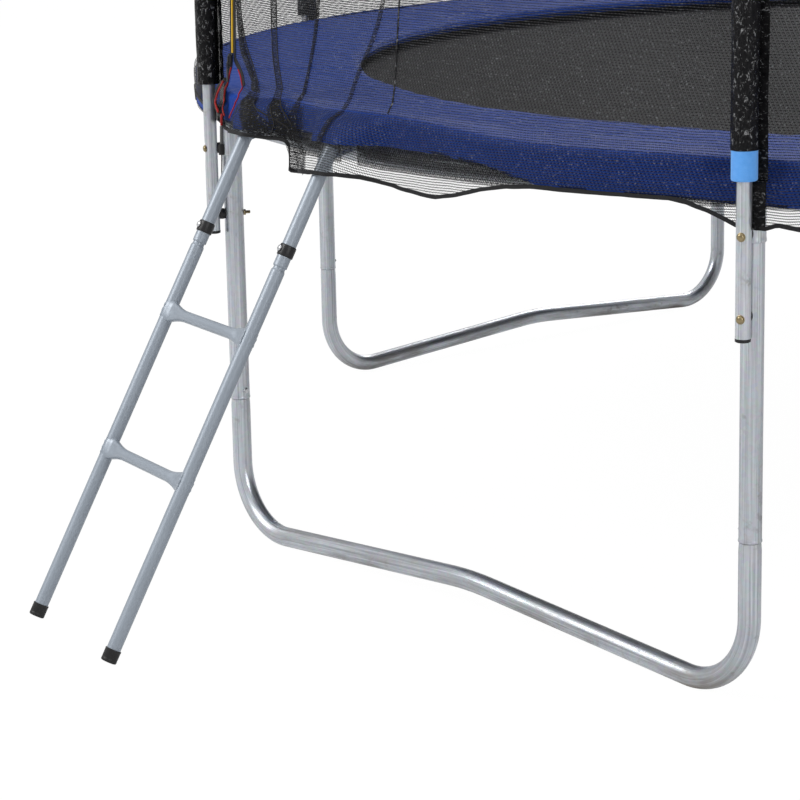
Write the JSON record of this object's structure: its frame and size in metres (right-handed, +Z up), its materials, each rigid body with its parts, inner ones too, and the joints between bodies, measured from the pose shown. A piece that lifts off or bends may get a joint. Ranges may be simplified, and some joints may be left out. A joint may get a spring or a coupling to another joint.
{
  "type": "backyard trampoline",
  "caption": "Round backyard trampoline on W-shaped tube legs, with a spring-hung mat, frame pad, padded poles, zipped safety net and hook-on ladder.",
  "frame": {"origin": "bottom centre of the whole footprint, ladder included, on the ground; the round frame's own centre is at (0, 0.2565, 0)", "axes": "+Z up; the ladder and the net door are on the -Y side; the four leg bases face -Y, +X, +Y and -X"},
  "size_m": [3.715, 4.2279, 2.66],
  "materials": {
    "galvanised_steel": "galvanised, lengthwise streaks and scuffs",
    "powder_coat": "grey powder coat, satin",
    "black_plastic": "moulded, satin",
    "mat_fabric": "tight plain weave, slight sheen",
    "spring_steel": "zinc plated wire",
    "pad_vinyl": "blue woven sheet, wrinkled, semi-gloss",
    "net_mesh": "black knitted open mesh, see-through",
    "pole_foam": "closed-cell foam, light blue",
    "sleeve_sheet": "black shiny woven sheet, creased",
    "cord": "braided",
    "zip_metal": "black enamelled slider",
    "zip_tape": "red piping and yellow tape",
    "bolt_zinc": "yellow zinc plated fasteners"
  },
  "bodies": {
    "frame": {"leg_base_front": "galvanised_steel", "leg_base_right": "galvanised_steel", "leg_base_back": "galvanised_steel", "leg_base_left": "galvanised_steel", "leg_post_1": "galvanised_steel", "leg_post_2": "galvanised_steel", "leg_post_3": "galvanised_steel", "leg_post_4": "galvanised_steel", "leg_post_5": "galvanised_steel", "leg_post_6": "galvanised_steel", "leg_post_7": "galvanised_steel", "leg_post_8": "galvanised_steel", "ring_segment_1": "galvanised_steel", "ring_segment_2": "galvanised_steel", "ring_segment_3": "galvanised_steel", "ring_segment_4": "galvanised_steel", "ring_segment_5": "galvanised_steel", "ring_segment_6": "galvanised_steel", "ring_segment_7": "galvanised_steel", "ring_segment_8": "galvanised_steel", "net_pole_1": "galvanised_steel", "net_pole_2": "galvanised_steel", "net_pole_3": "galvanised_steel", "net_pole_4": "galvanised_steel", "net_pole_5": "galvanised_steel", "net_pole_6": "galvanised_steel", "net_pole_7": "galvanised_steel", "net_pole_8": "galvanised_steel", "pole_foam_1": "pole_foam", "pole_foam_2": "pole_foam", "pole_foam_3": "pole_foam", "pole_foam_4": "pole_foam", "pole_foam_5": "pole_foam", "pole_foam_6": "pole_foam", "pole_foam_7": "pole_foam", "pole_foam_8": "pole_foam", "pole_cap_1": "black_plastic", "pole_cap_2": "black_plastic", "pole_cap_3": "black_plastic", "pole_cap_4": "black_plastic", "pole_cap_5": "black_plastic", "pole_cap_6": "black_plastic", "pole_cap_7": "black_plastic", "pole_cap_8": "black_plastic", "springs": "spring_steel", "frame_pad": "pad_vinyl", "enclosure_net": "net_mesh", "top_rope": "cord"},
    "jumping_mat": {"jumping_mat": "mat_fabric"},
    "ladder": {"ladder_frame": "powder_coat", "ladder_hook_left": "powder_coat", "ladder_hook_right": "powder_coat", "ladder_collar_left": "black_plastic", "ladder_collar_right": "black_plastic", "ladder_foot_left": "black_plastic", "ladder_foot_right": "black_plastic"},
    "net_door": {"net_door": "net_mesh"},
    "zip_slider": {"zip_slider": "zip_metal"}
  },
  "joints": [
    {"name": "mat_bounce", "type": "slide", "parent": "frame", "child": "jumping_mat", "axis": [0, 0, -1], "range_m": [0, 0.3], "stiffness_N_per_m": 5000, "deforming": ["springs"]},
    {"name": "ladder_swing", "type": "hinge", "parent": "frame", "child": "ladder", "pos_m": [-0.26396, -1.54628, 0.85], "axis": [-0.9895, 0.1449, 0], "range_deg": [0, 35]},
    {"name": "door_swing", "type": "hinge", "parent": "frame", "child": "net_door", "pos_m": [-0.00484, -1.59149, 0.925], "axis": [0.0002, 0.0838, 0.9965], "range_deg": [0, 100]},
    {"name": "zip_travel", "type": "slide", "parent": "frame", "child": "zip_slider", "axis": [0.0095, 0.0288, 0.9995], "range_m": [0, 1.3]}
  ]
}
